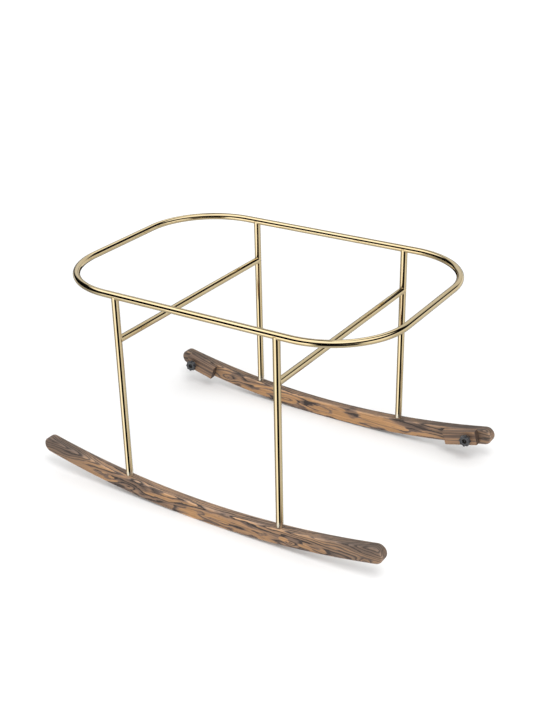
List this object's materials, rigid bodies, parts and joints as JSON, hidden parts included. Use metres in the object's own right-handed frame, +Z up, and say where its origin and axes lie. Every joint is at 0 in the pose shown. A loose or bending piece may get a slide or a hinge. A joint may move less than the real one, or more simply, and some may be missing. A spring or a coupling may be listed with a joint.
{
  "type": "bassinet stand",
  "caption": "Rocking bassinet stand: brass tube ring on four legs, cross bars for the basket, curved wooden rockers, and knob-clamped wooden stoppers that turn down to the floor.",
  "frame": {"origin": "on the floor at the middle of the stand, between the two rockers' resting points", "axes": "+X along the rockers, +Y across them towards the rocker that carries the stoppers, +Z up"},
  "size_m": [0.9, 0.578, 0.5],
  "materials": {
    "brass": "polished and lacquered",
    "turned_brass": "turned",
    "rocker_wood": "stained softwood, satin varnish",
    "stopper_wood": "stained softwood, satin varnish",
    "black_plastic": "moulded, satin",
    "zinc_steel": "zinc plated",
    "fibre": "pressed fibre"
  },
  "bodies": {
    "stand": {"ring": "brass", "cross_bar_left": "brass", "cross_bar_right": "brass", "leg_near_left": "brass", "leg_near_right": "brass", "leg_far_left": "brass", "leg_far_right": "brass", "rocker_near": "rocker_wood", "rocker_far": "rocker_wood", "leg_plug_near_left": "turned_brass", "leg_plug_near_right": "turned_brass", "leg_plug_far_left": "turned_brass", "leg_plug_far_right": "turned_brass", "leg_bolt_near_left": "zinc_steel", "leg_bolt_near_right": "zinc_steel", "leg_bolt_far_left": "zinc_steel", "leg_bolt_far_right": "zinc_steel", "leg_washer_near_left": "zinc_steel", "leg_washer_near_right": "zinc_steel", "leg_washer_far_left": "zinc_steel", "leg_washer_far_right": "zinc_steel", "stopper_stud_left": "zinc_steel", "stopper_stud_right": "zinc_steel", "friction_washer_left": "fibre", "friction_washer_right": "fibre"},
    "stopper_left": {"stopper_left": "stopper_wood"},
    "washer_left": {"knob_washer_left": "zinc_steel"},
    "knob_left": {"knob_left": "black_plastic", "knob_insert_left": "turned_brass"},
    "stopper_right": {"stopper_right": "stopper_wood"},
    "washer_right": {"knob_washer_right": "zinc_steel"},
    "knob_right": {"knob_right": "black_plastic", "knob_insert_right": "turned_brass"}
  },
  "joints": [
    {"name": "stopper_turn_left", "type": "hinge", "parent": "stand", "child": "stopper_left", "pos_m": [-0.398, 0.2539, 0.06184], "axis": [0, 1, 0], "range_deg": [0, 71.27]},
    {"name": "knob_travel_left", "type": "slide", "parent": "stand", "child": "washer_left", "axis": [0, -1, 0], "range_m": [0, 0.002]},
    {"name": "knob_turn_left", "type": "hinge", "parent": "washer_left", "child": "knob_left", "pos_m": [-0.398, 0.2347, 0.06184], "axis": [0, -1, 0], "range_deg": [0, 720]},
    {"name": "stopper_turn_right", "type": "hinge", "parent": "stand", "child": "stopper_right", "pos_m": [0.398, 0.2539, 0.06184], "axis": [0, -1, 0], "range_deg": [0, 71.27]},
    {"name": "knob_travel_right", "type": "slide", "parent": "stand", "child": "washer_right", "axis": [0, -1, 0], "range_m": [0, 0.002]},
    {"name": "knob_turn_right", "type": "hinge", "parent": "washer_right", "child": "knob_right", "pos_m": [0.398, 0.2347, 0.06184], "axis": [0, -1, 0], "range_deg": [0, 720]}
  ],
  "couplings": [
    {"joint": "knob_travel_left", "follows": "knob_turn_left", "m_per_rad": 0.00015915},
    {"joint": "knob_travel_right", "follows": "knob_turn_right", "m_per_rad": 0.00015915}
  ]
}
